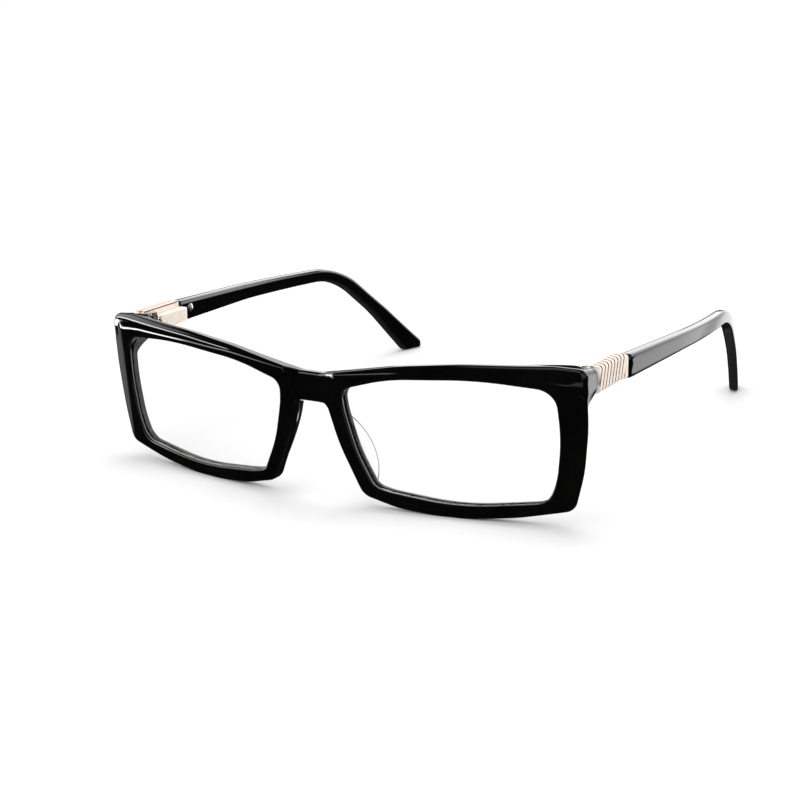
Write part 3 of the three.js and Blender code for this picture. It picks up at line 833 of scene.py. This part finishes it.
def build_arm_screw(side, material):
    """A domed head with an upright slot."""
    slot_top = SCREW_SLOT_HALF + SCREW_SLOT_WALL
    face = float(temple_x(ARM_SCREW_Y) - arm_half(ARM_SCREW_Y))
    angles = np.linspace(0, 2 * math.pi, SCREW_SIDES, endpoint=False)
    loop = SCREW_RADIUS * np.stack((np.cos(angles), np.sin(angles)), axis=1)

    def top(u, v):
        dome = SCREW_DOME * (1 - (u ** 2 + v ** 2) / SCREW_RADIUS ** 2)
        slot = 1 - smooth_step(SCREW_SLOT_HALF, slot_top, np.abs(u))
        return face - dome + SCREW_SLOT_DEPTH * slot

    base = lambda u, v: np.full(np.shape(u), face + SCREW_DEPTH)
    v = np.arange(*SCREW_GUIDE)
    guides = [np.stack((np.full(len(v), u), v), axis=1)
              for edge in (SCREW_SLOT_HALF, slot_top) for u in (-edge, edge)]
    shell = Shell()
    first, last = edge_rings(shell, loop, top, base, constant(SCREW_TOP_ROUND),
                             constant(SCREW_BASE_ROUND), [(0.5, 0.0)])
    shell.fill([first], top, SCREW_TOP_SPACING, guides)
    shell.fill([last], base, SCREW_BASE_SPACING)
    points = for_side([(x, ARM_SCREW_Y + u, ARM_SCREW_Z + v) for u, v, x in shell.points], side)
    return make(f"slotted_screw_{side}", points, shell.faces, f"temple_{side}", material,
                [f"arm_screw_{side}"])


def finish_cad_node(name, material, bevel=0.12):
    """Rounds the edges of a carried-over CAD node and gives it its material."""
    node = NODES[name]
    node.data.materials.clear()
    node.data.materials.append(material)
    for polygon in node.data.polygons:
        polygon.use_smooth = True
    flat = node.modifiers.new("flat faces", "DECIMATE")
    flat.decimate_type = "DISSOLVE"
    flat.angle_limit = math.radians(1)
    edge = node.modifiers.new("round edges", "BEVEL")
    edge.width = bevel * MM
    edge.segments = 2
    edge.limit_method = "ANGLE"
    edge.angle_limit = math.radians(40)
    edge.harden_normals = False
    even = node.modifiers.new("even shading", "WEIGHTED_NORMAL")
    even.keep_sharp = True


# ---- Materials ----

def new_material(name, **sockets):
    material = bpy.data.materials.new(name)
    material.use_nodes = True
    shader = material.node_tree.nodes["Principled BSDF"]
    for socket, value in sockets.items():
        shader.inputs[socket.replace("_", " ")].default_value = value
    return material, material.node_tree, shader


def noise(tree, scale, detail=3.0, roughness=0.5, stretch=(1, 1, 1)):
    """A noise texture in the object's own metres."""
    place_node = tree.nodes.new("ShaderNodeTexCoord")
    mapping = tree.nodes.new("ShaderNodeMapping")
    mapping.inputs["Scale"].default_value = stretch
    texture = tree.nodes.new("ShaderNodeTexNoise")
    texture.inputs["Scale"].default_value = scale
    texture.inputs["Detail"].default_value = detail
    texture.inputs["Roughness"].default_value = roughness
    tree.links.new(place_node.outputs["Object"], mapping.inputs["Vector"])
    tree.links.new(mapping.outputs["Vector"], texture.inputs["Vector"])
    return texture.outputs["Fac"]


def ramp(tree, factor, low, high, start=0.3, end=0.7):
    """A colour from low to high as the factor goes from start to end."""
    node = tree.nodes.new("ShaderNodeValToRGB")
    node.color_ramp.elements[0].position = start
    node.color_ramp.elements[0].color = (*low, 1)
    node.color_ramp.elements[1].position = end
    node.color_ramp.elements[1].color = (*high, 1)
    tree.links.new(factor, node.inputs["Fac"])
    return node.outputs["Color"]


def remapped(tree, factor, low, high):
    node = tree.nodes.new("ShaderNodeMapRange")
    node.inputs["From Min"].default_value = 0.3
    node.inputs["From Max"].default_value = 0.7
    node.inputs["To Min"].default_value = low
    node.inputs["To Max"].default_value = high
    tree.links.new(factor, node.inputs["Value"])
    return node.outputs["Result"]


def bump(tree, shader, height, distance, strength=1.0):
    node = tree.nodes.new("ShaderNodeBump")
    node.inputs["Distance"].default_value = distance
    node.inputs["Strength"].default_value = strength
    tree.links.new(height, node.inputs["Height"])
    tree.links.new(node.outputs["Normal"], shader.inputs["Normal"])


def acetate_material():
    """Polished black acetate: a deep gloss over faint swirls, with soft buffing marks."""
    material, tree, shader = new_material("black acetate", IOR=1.47)
    swirl = noise(tree, 90, 4, 0.55, (1, 0.4, 1))
    tree.links.new(ramp(tree, swirl, (0.0008, 0.0008, 0.001), (0.0026, 0.0023, 0.0021)),
                   shader.inputs["Base Color"])
    buffing = noise(tree, 400, 3, 0.6)
    tree.links.new(remapped(tree, buffing, 0.035, 0.06), shader.inputs["Roughness"])
    bump(tree, shader, noise(tree, 140, 2), 0.000006, 0.3)
    return material


def plated_material(name, low, high, metallic, roughness):
    """Bright plating that is slightly deeper in places, with soft polishing marks."""
    material, tree, shader = new_material(name, Metallic=metallic)
    tone = noise(tree, 300, 3)
    tree.links.new(ramp(tree, tone, low, high), shader.inputs["Base Color"])
    lines = noise(tree, 900, 2, 0.5, (1, 0.2, 1))
    tree.links.new(remapped(tree, lines, roughness, roughness + 0.1), shader.inputs["Roughness"])
    return material


def rose_gold_material():
    return plated_material("rose gold plating", (1.0, 0.86, 0.74), (1.0, 0.92, 0.84), 0.15, 0.22)


def painted_groove_shade_material():
    """A dark copper colour for the faces deep in the grooves: painted shade between the ribs."""
    return plated_material("painted groove shade", (0.13, 0.035, 0.012), (0.3, 0.09, 0.035), 0.3, 0.35)


def steel_material():
    """Bright nickel-plated steel with turning marks."""
    material, tree, shader = new_material("nickel steel", Metallic=1.0)
    tone = noise(tree, 900, 3)
    tree.links.new(ramp(tree, tone, (0.74, 0.70, 0.64), (0.88, 0.85, 0.79)),
                   shader.inputs["Base Color"])
    marks = noise(tree, 3500, 2, 0.6, (0.15, 1, 1))
    tree.links.new(remapped(tree, marks, 0.16, 0.3), shader.inputs["Roughness"])
    bump(tree, shader, marks, 0.000004, 0.4)
    return material


def lens_material():
    """A clear lens: nearly all of what is behind shows, and glancing views reflect."""
    material, tree, shader = new_material("clear lens", Roughness=0.02, IOR=1.5,
                                          Transmission_Weight=1.0)
    tone = noise(tree, 30, 1)
    tree.links.new(ramp(tree, tone, (0.985, 0.99, 0.99), (1, 1, 1)), shader.inputs["Base Color"])
    weight = tree.nodes.new("ShaderNodeLayerWeight")
    weight.inputs["Blend"].default_value = 0.12
    tree.links.new(remapped(tree, weight.outputs["Fresnel"], 0.06, 0.4), shader.inputs["Alpha"])
    return material


def pad_material():
    """Clear moulded plastic: almost invisible face on, with painted shade where its edge turns
    away.
    """
    material, tree, shader = new_material("clear pad", Roughness=0.08, IOR=1.46,
                                          Transmission_Weight=0.6)
    tone = noise(tree, 250, 2)
    facing = tree.nodes.new("ShaderNodeLayerWeight")
    facing.inputs["Blend"].default_value = 0.5
    # Painted shade: near-black base colour where the surface turns from view, for the refracted
    # dark edge.
    painted_edge_darkness = tree.nodes.new("ShaderNodeMath")
    painted_edge_darkness.operation = "MULTIPLY_ADD"
    tree.links.new(tone, painted_edge_darkness.inputs[0])
    painted_edge_darkness.inputs[1].default_value = 0.1
    tree.links.new(facing.outputs["Facing"], painted_edge_darkness.inputs[2])
    painted_edge_shade = ramp(tree, painted_edge_darkness.outputs["Value"], (0.92, 0.94, 0.95), (0.005, 0.005, 0.005),
                 0.15, 0.42)
    tree.links.new(painted_edge_shade, shader.inputs["Base Color"])
    tree.links.new(remapped(tree, facing.outputs["Facing"], 0.08, 2.4), shader.inputs["Alpha"])
    return material


# ---- Camera, floor and light ----

def add_camera():
    yaw, pitch, roll = (math.radians(a) for a in (CAMERA_YAW, CAMERA_PITCH, CAMERA_ROLL))
    ahead = Vector((
        -math.sin(yaw) * math.cos(pitch), math.cos(yaw) * math.cos(pitch), -math.sin(pitch)))
    level = Vector((math.cos(yaw), math.sin(yaw), 0))
    above = level.cross(ahead)
    right = level * math.cos(roll) + above * math.sin(roll)
    up = above * math.cos(roll) - level * math.sin(roll)
    data = bpy.data.cameras.new("camera")
    data.lens = CAMERA_LENS
    data.sensor_width = SENSOR_WIDTH
    data.clip_start = 0.01
    data.clip_end = 50
    camera = bpy.data.objects.new("camera", data)
    turn = Matrix((right, up, -ahead)).transposed().to_4x4()
    camera.matrix_world = Matrix.Translation(CAMERA_PLACE) @ turn
    bpy.context.scene.collection.objects.link(camera)
    bpy.context.scene.camera = camera


def add_floor():
    mesh = bpy.data.meshes.new("floor")
    half = FLOOR_HALF
    mesh.from_pydata([(-half, -half, 0), (half, -half, 0), (half, half, 0), (-half, half, 0)],
                     [], [(0, 1, 2, 3)])
    floor = bpy.data.objects.new("floor", mesh)
    bpy.context.scene.collection.objects.link(floor)
    material, tree, shader = new_material("pale floor", Roughness=0.9)
    tree.links.new(ramp(tree, noise(tree, 3, 2), (0.89, 0.89, 0.895), (0.92, 0.92, 0.92)),
                   shader.inputs["Base Color"])
    mesh.materials.append(material)
    floor.visible_glossy = False


def add_key_light():
    """A broad soft light overhead, a little behind the glasses."""
    data = bpy.data.lights.new("overhead softbox", "AREA")
    data.shape = "DISK"
    data.size = KEY_SIZE
    data.energy = KEY_POWER
    light = bpy.data.objects.new("overhead softbox", data)
    light.location = KEY_PLACE
    light.rotation_euler = (-Vector(KEY_PLACE)).to_track_quat("-Z", "Y").to_euler()
    light.visible_glossy = False
    bpy.context.scene.collection.objects.link(light)


class WorldMath:
    """Short ways to add and join math nodes."""

    def __init__(self, tree):
        self.tree = tree

    def apply(self, operation, *values):
        node = self.tree.nodes.new("ShaderNodeMath")
        node.operation = operation
        for socket, value in zip(node.inputs, values):
            if isinstance(value, (int, float)):
                socket.default_value = value
            else:
                self.tree.links.new(value, socket)
        return node.outputs["Value"]

    def window(self, angle, start, end, soft):
        """1 between two angles, falling smoothly to 0 outside them."""
        node = self.tree.nodes.new("ShaderNodeMapRange")
        node.interpolation_type = "SMOOTHSTEP"
        middle, half = (start + end) / 2, (end - start) / 2
        self.tree.links.new(self.apply("ABSOLUTE", self.apply("SUBTRACT", angle, middle)),
                            node.inputs["Value"])
        node.inputs["From Min"].default_value = half - soft / 2
        node.inputs["From Max"].default_value = half + soft / 2
        node.inputs["To Min"].default_value = 1
        node.inputs["To Max"].default_value = 0
        return node.outputs["Result"]


def add_world():
    """White all round for the background and the fill light. Reflections see a dark studio
    with soft panels."""
    world = bpy.data.worlds.new("studio")
    world.use_nodes = True
    bpy.context.scene.world = world
    tree = world.node_tree
    calc = WorldMath(tree)
    direction = tree.nodes.new("ShaderNodeTexCoord")
    axes = tree.nodes.new("ShaderNodeSeparateXYZ")
    tree.links.new(direction.outputs["Generated"], axes.inputs["Vector"])
    azimuth = calc.apply("DEGREES", calc.apply("ARCTAN2", axes.outputs["X"], axes.outputs["Y"]))
    elevation = calc.apply("DEGREES", calc.apply("ARCSINE", axes.outputs["Z"]))
    total = STUDIO_DARK
    for from_azimuth, to_azimuth, from_elevation, to_elevation, soft, strength in PANELS.values():
        across = calc.window(azimuth, from_azimuth, to_azimuth, soft)
        upward = calc.window(elevation, from_elevation, to_elevation, soft)
        shown = calc.apply("MULTIPLY", across, upward)
        total = calc.apply("MULTIPLY_ADD", shown, strength, total)
    path = tree.nodes.new("ShaderNodeLightPath")
    strength = tree.nodes.new("ShaderNodeMix")
    tree.links.new(path.outputs["Is Glossy Ray"], strength.inputs["Factor"])
    strength.inputs["A"].default_value = FILL_LIGHT
    tree.links.new(total, strength.inputs["B"])
    background = tree.nodes["Background"]
    background.inputs["Color"].default_value = (1, 1, 1, 1)
    tree.links.new(strength.outputs["Result"], background.inputs["Strength"])


def build():
    acetate = acetate_material()
    rose_gold = rose_gold_material()
    groove = painted_groove_shade_material()
    steel = steel_material()
    lens = lens_material()
    pad = pad_material()
    build_front(acetate)
    for side in SIDES:
        build_lens(side, lens)
        build_nose_pad(side, pad)
        build_arm(side, acetate)
        build_metal_end(side, rose_gold, groove)
        build_flange(side, rose_gold)
        build_arm_screw(side, steel)
        finish_cad_node(f"hinge_housing_{side}", rose_gold, 0.25)
        finish_cad_node(f"hinge_leaf_{side}", steel)
        for name in ("hinge_screw", "spring_slider", "slider_nut", "spring_retainer"):
            finish_cad_node(f"{name}_{side}", steel, 0.08)
        for name in ("hinge_spring", "core_wire"):
            finish_cad_node(f"{name}_{side}", steel, 0.0)


build()
add_camera()
add_floor()
add_world()
add_key_light()
bpy.context.scene.view_settings.view_transform = "Standard"
